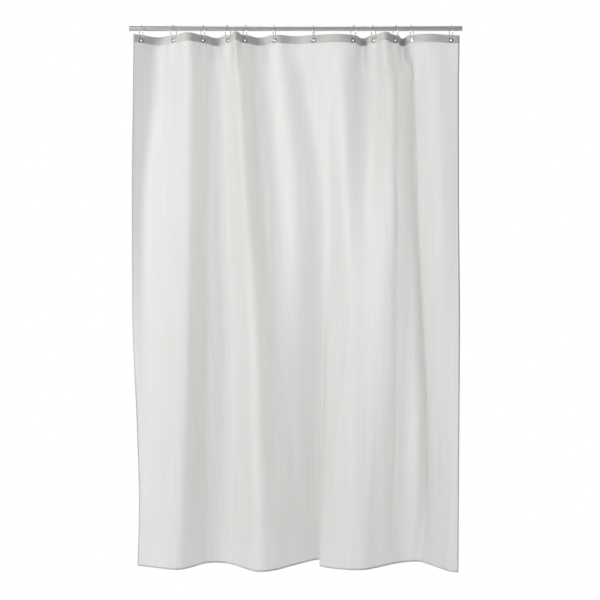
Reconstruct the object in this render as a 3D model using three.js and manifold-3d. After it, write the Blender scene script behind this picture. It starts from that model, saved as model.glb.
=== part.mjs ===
// A fabric shower curtain hung from a round rod by wire rings, drawn with part of its width gathered in folds.
// Millimetres, +Z up, +X along the rod, -Y towards the room. The origin is the middle of the rod's axis.
import * as THREE from "three";
import { mergeVertices } from "three/addons/utils/BufferGeometryUtils.js";
import Module from "manifold-3d";

// Fits
const CLEARANCE = 0.3; // between pieces that touch
const SEAM_GAP = 0.6; // between neighbouring strips of the cloth

// Rod: a round tube, its ends closed by flush plugs
const ROD_RADIUS = 9.5;
const ROD_WALL = 1.2;
const ROD_OVERHANG_LEFT = 17; // past the cloth's left edge
const ROD_OVERHANG_RIGHT = 9;
const PLUG_FLANGE = 1.5;
const PLUG_SPIGOT = 20;
const ROD_SIDES = 32;

// Curtain, as cut
const FLAT_WIDTH = 1800;
const DROP = 2000;
const CLOTH_THICKNESS = 0.8; // the weave with its crimp
const HEADER_HEIGHT = 30;
const HEADER_THICKNESS = 1.6; // the hem is folded over
const HEM_STEP = 2; // height over which the header's fold thins to one layer
const EYELET_COUNT = 12;
const SIDE_MARGIN = 34; // from a side edge to the first eyelet
const EYELET_DROP = 20; // from the top edge to an eyelet's centre

// Eyelets: a flanged barrel with a washer behind the cloth, under its rolled lip
const EYELET_BORE = 4.5; // radius
const EYELET_WALL = 0.7;
const EYELET_FLANGE = 8.5; // radius
const EYELET_SHEET = 0.6; // thickness of flange and washer
const EYELET_LIP = 1.3; // how far the rolled end spreads past the barrel
const EYELET_SIDES = 12;

// Rings: round wire bent to a circle, its two ends butted together behind the curtain
const RING_RADIUS = 26.5; // to the middle of the wire
const RING_WIRE = 1.5; // radius
const RING_SLIT = 0.6;
const RING_SIDES = 8;
const RING_STEPS = 24;
const WIRE_RISE = 0.2; // how far the wire climbs from its lowest point before it leaves the eyelet
const RING_FOLLOW = 0.6; // share of the cloth's turn at its eyelet that a ring takes up

// How it hangs at the top: the share of each stretch between eyelets that is left between the rings,
// the side that it folds to (1 away from the room, -1 into it), and the cloth's turn at each eyelet.
const HUNG_SHARE = [0.775, 0.701, 0.603, 0.405, 0.704, 0.938, 0.95, 0.488, 0.524, 0.385, 0.94];
const FOLD_SIDE = [1, -1, 1, -1, 1, 1, -1, 1, -1, 1, -1];
const EYELET_TURN = [36, -30, 33, -33, 30, -14, -10, 30, -35, 28, -30, 12]; // degrees
const FLAT_HALF = 11; // the cloth stays flat this far each side of an eyelet
const FOLD_FULLNESS = 3; // 2 folds to a sharp crest, more rounds it out

// How it hangs at the bottom: each fold's place along the hung width and its depth before the sheet's
// length is matched, as shares of that width. Folds run fewer and deeper than at the top.
const BOTTOM_FOLDS = [
  [0.011, 0],
  [0.142, -0.059],
  [0.259, 0.05],
  [0.378, -0.088],
  [0.571, 0.092],
  [0.669, -0.062],
  [0.856, 0.062],
  [0.994, -0.1],
];

// Fineness of the cloth's solids
const SAMPLE = 1; // step along the sheet when its path is worked out
const SIDE_COLUMNS = 4; // faces between a strip's edge and the flat round its eyelet
const ROWS = 9; // rows of faces below the header

const EYELET_PITCH = (FLAT_WIDTH - 2 * SIDE_MARGIN) / (EYELET_COUNT - 1);
const turns = EYELET_TURN.map(THREE.MathUtils.degToRad);
const marginLeft = SIDE_MARGIN * Math.cos(turns[0]);
const marginRight = SIDE_MARGIN * Math.cos(turns[EYELET_COUNT - 1]);
const ringSpan = EYELET_PITCH * HUNG_SHARE.reduce((sum, share) => sum + share, 0);
const hungWidth = marginLeft + ringSpan + marginRight;
const rodLength = ROD_OVERHANG_LEFT + hungWidth + ROD_OVERHANG_RIGHT;
const clothLeft = ROD_OVERHANG_LEFT - rodLength / 2;

// Heights, from the rod's axis down: the ring hangs on the rod, and the eyelet hangs on the ring.
const ringCentreZ = ROD_RADIUS + CLEARANCE + RING_WIRE - RING_RADIUS;
const boreFlat = EYELET_BORE * Math.cos(Math.PI / EYELET_SIDES); // to the middle of a facet
const eyeletZ = ringCentreZ - RING_RADIUS + RING_WIRE + WIRE_RISE + CLEARANCE - boreFlat;
const topZ = eyeletZ + EYELET_DROP;

const wasm = await Module();
wasm.setup();

const steel = { color: 0xb9bbbd, roughness: 0.28, metalness: 1 };
const rodFinish = { color: 0xa3a5a8, roughness: 0.35, metalness: 0.9 };
const plugFinish = { color: 0x9a9c9f, roughness: 0.6, metalness: 0 };
const clothFinish = { color: 0xe6e6e6, roughness: 0.9, metalness: 0 };

function makeMesh(name, geometry, finish) {
  const mesh = new THREE.Mesh(geometry, new THREE.MeshStandardMaterial(finish));
  mesh.name = name;
  return mesh;
}

function numbered(name, index) {
  return `${name}_${String(index + 1).padStart(2, "0")}`;
}

// The value in [low, high] at which a rising function reaches zero.
function solveRising(rising, low, high) {
  for (let i = 0; i < 50; i++) {
    const middle = (low + high) / 2;
    if (rising(middle) < 0) low = middle;
    else high = middle;
  }
  return (low + high) / 2;
}

function pathLength(points) {
  let length = 0;
  for (let i = 1; i < points.length; i++) length += points[i].distanceTo(points[i - 1]);
  return length;
}

// ---- The sheet's path in plan ----

// One stretch between two eyelets: flat at each, and between the flats a fold as deep as the cloth is long.
function stretchPath(start, gap, turnA, turnB, side) {
  const from = new THREE.Vector2(Math.cos(turnA), Math.sin(turnA)).multiplyScalar(FLAT_HALF).add(start);
  const to = new THREE.Vector2(-Math.cos(turnB), -Math.sin(turnB)).multiplyScalar(FLAT_HALF).add(start);
  to.x += gap;
  const width = to.x - from.x;
  const steps = 60;
  const withDepth = (depth) => {
    const points = [start.clone()];
    for (let i = 0; i <= steps; i++) {
      const u = i / steps;
      const ease = u * u * (3 - 2 * u);
      const leave = u * (1 - u) * (1 - u) * width * Math.tan(turnA);
      const arrive = u * u * (1 - u) * width * Math.tan(turnB);
      const bulge = side * depth * (1 - Math.abs(Math.cos(Math.PI * u)) ** FOLD_FULLNESS);
      const y = from.y + (to.y - from.y) * ease + leave - arrive + bulge;
      points.push(new THREE.Vector2(from.x + width * u, y));
    }
    points.push(new THREE.Vector2(start.x + gap, start.y));
    return points;
  };
  return withDepth(solveRising((depth) => pathLength(withDepth(depth)) - EYELET_PITCH, 0, EYELET_PITCH));
}

function topPath() {
  const last = EYELET_COUNT - 1;
  const start = new THREE.Vector2(clothLeft + marginLeft, 0);
  const points = [new THREE.Vector2(clothLeft, -SIDE_MARGIN * Math.sin(turns[0]))];
  for (let i = 0; i < last; i++) {
    const gap = HUNG_SHARE[i] * EYELET_PITCH;
    points.push(...stretchPath(start, gap, turns[i], turns[i + 1], FOLD_SIDE[i]).slice(0, -1));
    start.x += gap;
  }
  points.push(start.clone());
  points.push(new THREE.Vector2(start.x + marginRight, SIDE_MARGIN * Math.sin(turns[last])));
  return points;
}

// Half waves from fold to fold, all deepened together until the path is as long as the cloth is wide.
function bottomPath() {
  const steps = 40;
  const withDepth = (scale) => {
    const points = [];
    for (let fold = 1; fold < BOTTOM_FOLDS.length; fold++) {
      const [placeA, depthA] = BOTTOM_FOLDS[fold - 1];
      const [placeB, depthB] = BOTTOM_FOLDS[fold];
      for (let i = fold === 1 ? 0 : 1; i <= steps; i++) {
        const u = i / steps;
        const ease = (1 - Math.cos(Math.PI * u)) / 2;
        const x = clothLeft + hungWidth * (placeA + (placeB - placeA) * u);
        points.push(new THREE.Vector2(x, scale * hungWidth * (depthA + (depthB - depthA) * ease)));
      }
    }
    return points;
  };
  return withDepth(solveRising((scale) => pathLength(withDepth(scale)) - FLAT_WIDTH, 0, 3));
}

// A path walked in equal steps of the cloth: where each step starts, and which way it heads.
function walked(points) {
  const steps = Math.round(FLAT_WIDTH / SAMPLE);
  const step = pathLength(points) / steps;
  const at = [points[0].clone()];
  let leg = 1;
  let walkedBefore = 0;
  for (let i = 1; i <= steps; i++) {
    while (leg < points.length - 1 && walkedBefore + points[leg].distanceTo(points[leg - 1]) < i * step) {
      walkedBefore += points[leg].distanceTo(points[leg - 1]);
      leg++;
    }
    const share = (i * step - walkedBefore) / points[leg].distanceTo(points[leg - 1]);
    at.push(points[leg - 1].clone().lerp(points[leg], Math.min(share, 1)));
  }
  const headings = at.slice(1).map((p, i) => p.clone().sub(at[i]).angle());
  return { at, headings: headings.map((a) => (a > Math.PI ? a - 2 * Math.PI : a)) };
}

const top = walked(topPath());
const bottom = walked(bottomPath());

// The sheet's path at one height, from 0 at the top to 1 at the bottom: the headings of top and bottom
// are mixed, so the cloth keeps its length, and the ends are then brought to their own line.
function pathAt(mix) {
  const step = FLAT_WIDTH / top.headings.length;
  const points = [new THREE.Vector2(0, 0)];
  top.headings.forEach((heading, i) => {
    const angle = heading * (1 - mix) + bottom.headings[i] * mix;
    const move = new THREE.Vector2(Math.cos(angle), Math.sin(angle)).multiplyScalar(step);
    points.push(points[i].clone().add(move));
  });
  const last = points.length - 1;
  const start = top.at[0].clone().lerp(bottom.at[0], mix);
  const drift = top.at[last].clone().lerp(bottom.at[last], mix).sub(start).sub(points[last]);
  return points.map((p, i) => p.add(start).addScaledVector(drift, i / last));
}

// Place and heading at a distance along the cloth.
function onPath(path, distance) {
  const place = THREE.MathUtils.clamp(distance / SAMPLE, 0, path.length - 1 - 1e-6);
  const i = Math.floor(place);
  const heading = path[i + 1].clone().sub(path[i]);
  return { point: path[i].clone().addScaledVector(heading, place - i), heading: heading.normalize() };
}

const headerPath = pathAt(0);

// ---- Pieces ----

function toManifold(geometry) {
  const bare = geometry.clone();
  bare.deleteAttribute("normal");
  bare.deleteAttribute("uv");
  const merged = mergeVertices(bare, 1e-4);
  const vertProperties = Float32Array.from(merged.attributes.position.array);
  const triVerts = Uint32Array.from(merged.index.array);
  return new wasm.Manifold(new wasm.Mesh({ numProp: 3, vertProperties, triVerts }));
}

function toGeometry(solid) {
  const { vertProperties, triVerts } = solid.getMesh();
  const geometry = new THREE.BufferGeometry();
  geometry.setAttribute("position", new THREE.BufferAttribute(Float32Array.from(vertProperties), 3));
  geometry.setIndex(new THREE.BufferAttribute(Uint32Array.from(triVerts), 1));
  geometry.computeVertexNormals();
  return geometry;
}

// A closed outline turned about the local Y axis. The outline runs anticlockwise, radius to the right.
function turned(outline, sides) {
  const points = outline.map(([radius, height]) => new THREE.Vector2(radius, height));
  return new THREE.LatheGeometry(points, sides);
}

function rodTube() {
  const half = rodLength / 2 - PLUG_FLANGE - CLEARANCE;
  const bore = ROD_RADIUS - ROD_WALL;
  const outline = [[bore, -half], [ROD_RADIUS, -half], [ROD_RADIUS, half], [bore, half], [bore, -half]];
  const tube = makeMesh("rod_tube", turned(outline, ROD_SIDES), rodFinish);
  tube.rotation.z = -Math.PI / 2;
  return tube;
}

function rodPlug(name, side) {
  const spigot = ROD_RADIUS - ROD_WALL - CLEARANCE;
  const outline = [[0, -PLUG_SPIGOT], [spigot, -PLUG_SPIGOT], [spigot, 0]];
  outline.push([ROD_RADIUS, 0], [ROD_RADIUS, PLUG_FLANGE], [0, PLUG_FLANGE]);
  const plug = makeMesh(name, turned(outline, ROD_SIDES), plugFinish);
  plug.rotation.z = (-side * Math.PI) / 2;
  plug.position.x = side * (rodLength / 2 - PLUG_FLANGE);
  return plug;
}

// The wire's circle stands upright in the local YZ plane. Its ends meet behind the curtain.
class RingPath extends THREE.Curve {
  getPoint(t, target = new THREE.Vector3()) {
    const slit = RING_SLIT / RING_RADIUS;
    const angle = slit / 2 + t * (2 * Math.PI - slit);
    return target.set(0, RING_RADIUS * Math.cos(angle), RING_RADIUS * Math.sin(angle));
  }
}

function ringWire(index) {
  const section = new THREE.Shape();
  for (let i = 0; i < RING_SIDES; i++) {
    const angle = ((i + 0.5) * 2 * Math.PI) / RING_SIDES;
    const corner = [RING_WIRE * Math.cos(angle), RING_WIRE * Math.sin(angle)];
    if (i === 0) section.moveTo(...corner);
    else section.lineTo(...corner);
  }
  section.closePath();
  const shape = { steps: RING_STEPS, extrudePath: new RingPath(), bevelEnabled: false };
  const ring = makeMesh(numbered("ring_wire", index), new THREE.ExtrudeGeometry(section, shape), steel);
  ring.rotation.z = RING_FOLLOW * turns[index];
  ring.position.z = ringCentreZ;
  return ring;
}

// The eyelet's axis runs through the cloth, from the flange in front to the rolled lip behind.
const clothFront = -HEADER_THICKNESS / 2 - CLEARANCE;
const washerFront = HEADER_THICKNESS / 2 + CLEARANCE;
const lipFront = washerFront + EYELET_SHEET + CLEARANCE;

function eyeletBarrel(index) {
  const outer = EYELET_BORE + EYELET_WALL;
  const lipEnd = lipFront + EYELET_SHEET;
  const front = clothFront - EYELET_SHEET;
  const outline = [[EYELET_BORE, front], [EYELET_FLANGE - EYELET_SHEET, front], [EYELET_FLANGE, clothFront]];
  outline.push([outer, clothFront], [outer, lipFront], [outer + EYELET_LIP, lipFront]);
  outline.push([outer, lipEnd], [EYELET_BORE, lipEnd], [EYELET_BORE, front]);
  return makeMesh(numbered("eyelet", index), turned(outline, EYELET_SIDES), steel);
}

function eyeletWasher(index) {
  const hole = EYELET_BORE + EYELET_WALL + CLEARANCE;
  const back = washerFront + EYELET_SHEET;
  const outline = [[hole, washerFront], [EYELET_FLANGE, washerFront]];
  outline.push([EYELET_FLANGE, back], [hole, back], [hole, washerFront]);
  return makeMesh(numbered("eyelet_washer", index), turned(outline, EYELET_SIDES), steel);
}

// Where the strip that hangs from one eyelet starts and ends along the cloth, and its columns between.
function stripColumns(index) {
  const eyelet = SIDE_MARGIN + index * EYELET_PITCH;
  const start = index === 0 ? 0 : eyelet - (EYELET_PITCH - SEAM_GAP) / 2;
  const end = index === EYELET_COUNT - 1 ? FLAT_WIDTH : eyelet + (EYELET_PITCH - SEAM_GAP) / 2;
  const columns = [];
  for (let i = 0; i <= SIDE_COLUMNS; i++) {
    columns.push(THREE.MathUtils.lerp(start, eyelet - FLAT_HALF, i / SIDE_COLUMNS));
  }
  for (let i = 0; i <= SIDE_COLUMNS; i++) {
    columns.push(THREE.MathUtils.lerp(eyelet + FLAT_HALF, end, i / SIDE_COLUMNS));
  }
  return columns;
}

// Each row of the sheet: how far below the top edge it lies, and how thick the cloth is there.
function sheetRows() {
  const rows = [[0, HEADER_THICKNESS], [HEADER_HEIGHT, HEADER_THICKNESS]];
  const first = HEADER_HEIGHT + HEM_STEP;
  for (let i = 0; i <= ROWS; i++) {
    rows.push([THREE.MathUtils.lerp(first, DROP, i / ROWS), CLOTH_THICKNESS]);
  }
  return rows.map(([below, thickness]) => {
    const mix = THREE.MathUtils.smoothstep(below, first, DROP);
    return { z: topZ - below, thickness, path: mix > 0 ? pathAt(mix) : headerPath };
  });
}

const rows = sheetRows();

function stripSolid(columns) {
  const across = columns.length;
  const positions = [];
  for (const side of [-1, 1]) {
    for (const row of rows) {
      for (const distance of columns) {
        const { point, heading } = onPath(row.path, distance);
        const offset = (side * row.thickness) / 2;
        positions.push(point.x - heading.y * offset, point.y + heading.x * offset, row.z);
      }
    }
  }
  const back = rows.length * across;
  const faces = [];
  const quad = (a, b, c, d) => faces.push(a, b, c, a, c, d);
  for (let r = 0; r < rows.length - 1; r++) {
    for (let c = 0; c < across - 1; c++) {
      const corner = r * across + c;
      quad(corner, corner + across, corner + across + 1, corner + 1);
      quad(back + corner, back + corner + 1, back + corner + across + 1, back + corner + across);
    }
    const left = r * across;
    const right = left + across - 1;
    quad(left, back + left, back + left + across, left + across);
    quad(right, right + across, back + right + across, back + right);
  }
  const low = (rows.length - 1) * across;
  for (let c = 0; c < across - 1; c++) {
    quad(c, c + 1, back + c + 1, back + c);
    quad(low + c, back + low + c, back + low + c + 1, low + c + 1);
  }
  const geometry = new THREE.BufferGeometry();
  geometry.setAttribute("position", new THREE.Float32BufferAttribute(positions, 3));
  geometry.setIndex(faces);
  return toManifold(geometry);
}

// One strip of the cloth, from the middle of the fold on one side of its eyelet to the middle of the next.
function clothStrip(index, eyeletPlace, eyeletTurn) {
  const radius = EYELET_BORE + EYELET_WALL + CLEARANCE;
  const punch = new THREE.CylinderGeometry(radius, radius, 4 * HEADER_THICKNESS, EYELET_SIDES);
  punch.rotateZ(eyeletTurn);
  punch.translate(eyeletPlace.x, eyeletPlace.y, eyeletZ);
  const solid = stripSolid(stripColumns(index)).subtract(toManifold(punch));
  return makeMesh(numbered("curtain_cloth", index), toGeometry(solid), clothFinish);
}

// ---- Assembly ----

const curtain = new THREE.Group();
curtain.add(rodTube(), rodPlug("rod_plug_left", -1), rodPlug("rod_plug_right", 1));

for (let index = 0; index < EYELET_COUNT; index++) {
  const { point, heading } = onPath(headerPath, SIDE_MARGIN + index * EYELET_PITCH);
  const turn = heading.angle();

  const hanger = new THREE.Group();
  hanger.position.x = point.x;
  hanger.add(ringWire(index));

  const fittings = new THREE.Group();
  fittings.position.set(point.x, point.y, eyeletZ);
  fittings.rotation.z = turn;
  fittings.add(eyeletBarrel(index), eyeletWasher(index));

  curtain.add(hanger, fittings, clothStrip(index, point, turn));
}

export default curtain;
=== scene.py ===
"""Builds a gathered fabric shower curtain with its eyelets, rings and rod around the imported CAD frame."""
import math

import bpy
import numpy as np
from mathutils import Matrix, Vector


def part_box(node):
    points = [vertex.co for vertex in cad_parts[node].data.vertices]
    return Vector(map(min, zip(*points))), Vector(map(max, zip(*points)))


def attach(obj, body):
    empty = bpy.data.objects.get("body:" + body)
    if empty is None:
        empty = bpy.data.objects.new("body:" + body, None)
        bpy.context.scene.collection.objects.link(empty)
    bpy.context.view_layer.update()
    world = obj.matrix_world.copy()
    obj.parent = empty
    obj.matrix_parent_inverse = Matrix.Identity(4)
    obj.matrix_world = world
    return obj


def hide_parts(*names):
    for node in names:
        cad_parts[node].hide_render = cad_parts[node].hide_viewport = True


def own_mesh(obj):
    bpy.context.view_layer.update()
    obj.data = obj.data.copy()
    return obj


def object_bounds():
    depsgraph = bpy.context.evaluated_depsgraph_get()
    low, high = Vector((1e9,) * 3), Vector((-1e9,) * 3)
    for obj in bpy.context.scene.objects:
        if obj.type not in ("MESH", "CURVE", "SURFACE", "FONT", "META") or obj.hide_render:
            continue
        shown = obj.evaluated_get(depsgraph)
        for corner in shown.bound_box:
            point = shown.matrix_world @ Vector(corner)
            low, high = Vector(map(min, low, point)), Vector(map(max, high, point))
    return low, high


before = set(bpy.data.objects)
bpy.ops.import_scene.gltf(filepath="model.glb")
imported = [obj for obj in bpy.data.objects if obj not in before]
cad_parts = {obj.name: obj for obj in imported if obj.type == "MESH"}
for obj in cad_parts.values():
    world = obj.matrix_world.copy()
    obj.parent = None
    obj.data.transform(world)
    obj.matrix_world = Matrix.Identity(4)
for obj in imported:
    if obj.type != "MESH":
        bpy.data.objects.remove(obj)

CAD_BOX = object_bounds()

bl_info = {
    "name": "Gathered Shower Curtain",
    "version": (1, 0, 0),
    "blender": (4, 5, 0),
    "location": "View3D > Sidebar > Curtain",
    "description": "Builds a fabric shower curtain with eyelets, wire rings and a round rod",
    "category": "Object",
}

MM = 0.001
COUNT = 12
HANGERS = [f"{n:02d}" for n in range(1, COUNT + 1)]


def ring_place(number):
    """Middle of one ring's wire circle."""
    low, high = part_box(f"ring_wire_{number}")
    return (low + high) / 2


RINGS = [ring_place(number) for number in HANGERS]
RING_HALF = (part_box("ring_wire_01")[1].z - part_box("ring_wire_01")[0].z) / 2
ROD_LOW, ROD_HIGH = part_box("rod_tube")
TOP_Z = max(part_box(f"curtain_cloth_{n}")[1].z for n in HANGERS)
CURTAIN_BODY = "hanger_01"

# How the sheet hangs from its eyelets: its turn at each, in degrees, and the side that the cloth between
# two eyelets folds to, 1 away from the room and -1 into it.
EYELET_TURN = (36, -30, 33, -33, 30, -14, -10, 30, -35, 28, -30, 12)
FOLD_SIDE = (1, -1, 1, -1, 1, 1, -1, 1, -1, 1, -1)
FLAT_HALF = 11 * MM  # the cloth stays flat this far each side of an eyelet
FOLD_FULLNESS = 3  # how blunt a header fold is: 1 gives a sharp one, more a rounder one
FOLD_POINTS = 61  # points of the path between two eyelets
SIDE_MARGIN = 34 * MM  # from a side edge to the first eyelet
EYELET_DROP = 20 * MM  # from the top edge to an eyelet's middle

# The folds below the header, left to right. Each has its place along the rod at the header, and then its
# place and its depth at each of LEVELS, in millimetres. Depth is positive away from the room.
LEVELS = (207, 584, 999, 1488, 1770, 2000)
FOLDS = (
    # header   207          584          999          1488         1770         2000
    (-610, (-612, -12), (-618, 0), (-617, 0), (-597, -5), (-590, -3), (-596, 0)),
    (-510, (-528, 45), (-567, 28), (-561, 10), (-540, -15), (-538, -24), (-538, -30)),
    (-400, (-394, -55), (-397, -60), (-397, -65), (-411, -70), (-420, -72), (-430, -72)),
    (-333, (-322, 30), (-326, 28), (-330, 32), (-336, 40), (-334, 46), (-331, 52)),
    (-284, (-276, 14), (-268, 10), (-256, 12), (-246, 20), (-252, 32), (-263, 44)),
    (-213, (-208, -62), (-186, -68), (-155, -72), (-143, -88), (-139, -98), (-137, -108)),
    (-161, (-144, 26), (-122, 20), (-94, -20), (-78, -46), (-74, -60), (-72, -76)),
    (-68, (-52, -14), (-12, -12), (10, 0), (2, 8), (-4, 8), (-14, -4)),
    (4, (39, 24), (98, 30), (108, 48), (104, 78), (98, 96), (93, 113)),
    (76, (99, 8), (125, 25), (122, 38), (110, 25), (103, 5), (98, -15)),
    (166, (174, -30), (184, -32), (203, -38), (202, -60), (202, -70), (201, -76)),
    (276, (280, 45), (272, 0), (262, -42), (262, -60), (257, -70), (254, -74)),
    (345, (346, -44), (340, -44), (332, -50), (312, -50), (300, -48), (292, -45)),
    (362, (374, -40), (374, -40), (373, -38), (364, -22), (352, -14), (342, 2)),
    (378, (381, 4), (380, 4), (380, 0), (374, 12), (368, 22), (368, 28)),
    (400, (406, 4), (424, 2), (446, 0), (464, 8), (460, 30), (425, 66)),
    (430, (450, 60), (462, 52), (484, 54), (502, 50), (500, 58), (472, 74)),
    (450, (449, 2), (461, -2), (483, -8), (502, -2), (506, 14), (502, 30)),
    (510, (530, -22), (542, -22), (554, -34), (562, -60), (568, -86), (573, -105)),
    (610, (616, 5), (615, 0), (613, -30), (605, -75), (601, -100), (599, -118)),
)

# Creases left by packing and handling: where each starts and ends (place along the rod and distance below
# the top edge), its half width and its height, in millimetres.
CREASES = (
    ((520, 1876), (574, 2010), 9, -3.0),
    ((-225, 1617), (-214, 1960), 10, -2.2),
    ((133, 238), (131, 547), 9, 1.6),
    ((-12, 1920), (-8, 2000), 12, 2.0),
    ((277, 38), (276, 230), 8, -2.2),
    ((-590, 1680), (-560, 1800), 14, 2.4),
)
PER_FOLD = 40  # points of a row's path between two folds

# How the cloth lies at its face, holes and seams.
FRONT = -0.8 * MM  # the sheet's face, ahead of the path through its eyelets
GAP = 0.06 * MM  # between the layers of a hem
HOLE = 5.5 * MM  # radius of the punched hole, hidden under the eyelet's flange
BLOCK_STEP = 5.5 * MM  # size of the squares that each hole is cut from
BLOCK = 4  # squares in each side of such a block
ABOVE_HOLES = 3  # rows of points above the blocks
COLUMN_STEP = 8 * MM
BODY_ROWS = 180
TURNED_EDGE = 0.2 * MM  # what the turned-in edge adds to the header's two layers
HEM_INSET = 0.4 * MM  # a hem stops this far inside the sheet's side edges
SEAM_INSET = 1.2 * MM  # from a side hem's inner edge to its seam
THREAD = 0.16 * MM  # radius of the sewing thread
STITCH_RISE = 0.1 * MM  # how far the middle of a stitch stands above its ends

# ---------------------------------------------------------------- sizes and colours


def linear(hex_colour):
    """An sRGB hex colour as linear RGBA."""
    channels = [int(hex_colour[i : i + 2], 16) / 255 for i in (1, 3, 5)]
    return [c / 12.92 if c <= 0.04045 else ((c + 0.055) / 1.055) ** 2.4 for c in channels] + [1.0]


class CurtainRodSizes(bpy.types.PropertyGroup):
    wall: bpy.props.FloatProperty(
        name="Tube wall", description="Thickness of the rod's tube", default=1.2 * MM, unit="LENGTH"
    )
    edge: bpy.props.FloatProperty(
        name="Edge", description="Rounding at the tube's cut ends", default=0.25 * MM, unit="LENGTH"
    )
    colour: bpy.props.FloatVectorProperty(
        name="Rod colour", description="Satin aluminium", default=linear("#CACACC")[:3], subtype="COLOR"
    )


class CurtainRingSizes(bpy.types.PropertyGroup):
    wire: bpy.props.FloatProperty(
        name="Wire radius", description="Half the ring wire's thickness", default=1.5 * MM, unit="LENGTH"
    )
    slit: bpy.props.FloatProperty(
        name="Slit", description="Gap where the wire's ends butt together", default=0.6 * MM, unit="LENGTH"
    )
    follow: bpy.props.FloatProperty(
        name="Follow", description="Share of the cloth's turn that a ring takes up", default=0.6,
        subtype="FACTOR",
    )


class CurtainEyeletSizes(bpy.types.PropertyGroup):
    bore: bpy.props.FloatProperty(
        name="Bore radius", description="Half the eyelet's opening", default=4.5 * MM, unit="LENGTH"
    )
    flange: bpy.props.FloatProperty(
        name="Flange radius", description="Half the eyelet's front rim", default=8.5 * MM, unit="LENGTH"
    )
    sheet: bpy.props.FloatProperty(
        name="Metal", description="Thickness of the pressed metal", default=0.6 * MM, unit="LENGTH"
    )


class CurtainClothSizes(bpy.types.PropertyGroup):
    width: bpy.props.FloatProperty(
        name="Flat width", description="Width of the sheet before it is gathered", default=1.8, unit="LENGTH"
    )
    drop: bpy.props.FloatProperty(
        name="Drop", description="Height of the sheet, top edge to bottom edge", default=2.0, unit="LENGTH"
    )
    thickness: bpy.props.FloatProperty(
        name="Thickness", description="Thickness of one layer of the fabric", default=0.4 * MM, unit="LENGTH"
    )
    header: bpy.props.FloatProperty(
        name="Header", description="Height of the hem at the top", default=30 * MM, unit="LENGTH"
    )
    side_hem: bpy.props.FloatProperty(
        name="Side hem", description="Width of the hems at the sides", default=5 * MM, unit="LENGTH"
    )
    bottom_hem: bpy.props.FloatProperty(
        name="Bottom hem", description="Height of the hem at the bottom", default=6 * MM, unit="LENGTH"
    )
    stitch: bpy.props.FloatProperty(
        name="Stitch", description="Length of one stitch", default=3.2 * MM, unit="LENGTH"
    )
    wrinkle: bpy.props.FloatProperty(
        name="Wrinkle", description="Height of the small wrinkles", default=1.6 * MM, unit="LENGTH"
    )


PROPERTY_GROUPS = {
    "curtain_rod": CurtainRodSizes,
    "curtain_ring": CurtainRingSizes,
    "curtain_eyelet": CurtainEyeletSizes,
    "curtain_cloth": CurtainClothSizes,
}


# ---------------------------------------------------------------- materials


def node(material, kind, settings=None, **inputs):
    """Adds one node. Settings go on the node, and inputs are values or another node's output.

    An input is named with _ for a space, or i and its number where its name isn't its own.
    """
    tree = material.node_tree
    made = tree.nodes.new(kind)
    for key, value in (settings or {}).items():
        setattr(made, key, value)
    for key, value in inputs.items():
        by_number = key[0] == "i" and key[1:].isdigit()
        socket = made.inputs[int(key[1:]) if by_number else key.replace("_", " ")]
        if isinstance(value, bpy.types.NodeSocket):
            tree.links.new(value, socket)
        else:
            socket.default_value = value
    return made


def blank(name):
    material = bpy.data.materials.new(name)
    material.use_nodes = True
    material.node_tree.nodes.clear()
    return material


def finish_material(material, shader):
    node(material, "ShaderNodeOutputMaterial", Surface=shader)
    return material


STREAK_LENGTH = 60  # a drawing line is this many times as long as it is wide
WAVE_PERIOD = 0.31416  # distance between the bands of a wave texture at scale 1


def brushed_metal(name, colour, roughness, along, grain):
    """A metal with fine drawing lines: streaks stretched along one axis vary its roughness and relief."""
    material = blank(name)
    place = node(material, "ShaderNodeTexCoord").outputs["Object"]
    scale = [1 / grain] * 3
    scale["XYZ".index(along)] /= STREAK_LENGTH
    stretched = node(material, "ShaderNodeMapping", Vector=place, Scale=scale).outputs[0]
    streaks = node(material, "ShaderNodeTexNoise", Vector=stretched, Scale=1.0, Detail=3.0).outputs["Fac"]
    # Handling leaves the surface slightly cloudy, in patches about 25 mm across.
    cloudy = node(material, "ShaderNodeTexNoise", Vector=place, Scale=40.0, Detail=2.0).outputs["Fac"]
    rough = node(
        material, "ShaderNodeMapRange", Value=streaks, From_Min=0.3, From_Max=0.7,
        To_Min=roughness * 0.8, To_Max=roughness * 1.25,
    ).outputs[0]
    tint = node(
        material, "ShaderNodeMapRange", Value=cloudy, From_Min=0.3, From_Max=0.7, To_Min=0.94, To_Max=1.0
    ).outputs[0]
    base = node(
        material, "ShaderNodeMix", {"data_type": "RGBA", "blend_type": "MULTIPLY"}, i0=1.0, i6=colour, i7=tint
    ).outputs[2]
    relief = node(material, "ShaderNodeBump", Strength=0.25, Distance=0.02 * MM, Height=streaks).outputs[0]
    shader = node(
        material, "ShaderNodeBsdfPrincipled", Base_Color=base, Metallic=1.0, Roughness=rough, Normal=relief
    ).outputs[0]
    return finish_material(material, shader)


def moulded_plastic(name, colour):
    """Matt moulded plastic: a fine spark-eroded grain breaks up its soft shine."""
    material = blank(name)
    place = node(material, "ShaderNodeTexCoord").outputs["Object"]
    # The grain of the mould is 0.4 mm across.
    grain = node(material, "ShaderNodeTexNoise", Vector=place, Scale=2500.0, Detail=2.0).outputs["Fac"]
    relief = node(material, "ShaderNodeBump", Strength=0.3, Distance=0.03 * MM, Height=grain).outputs[0]
    shader = node(
        material, "ShaderNodeBsdfPrincipled", Base_Color=colour, Roughness=0.55, Normal=relief
    ).outputs[0]
    return finish_material(material, shader)


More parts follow.
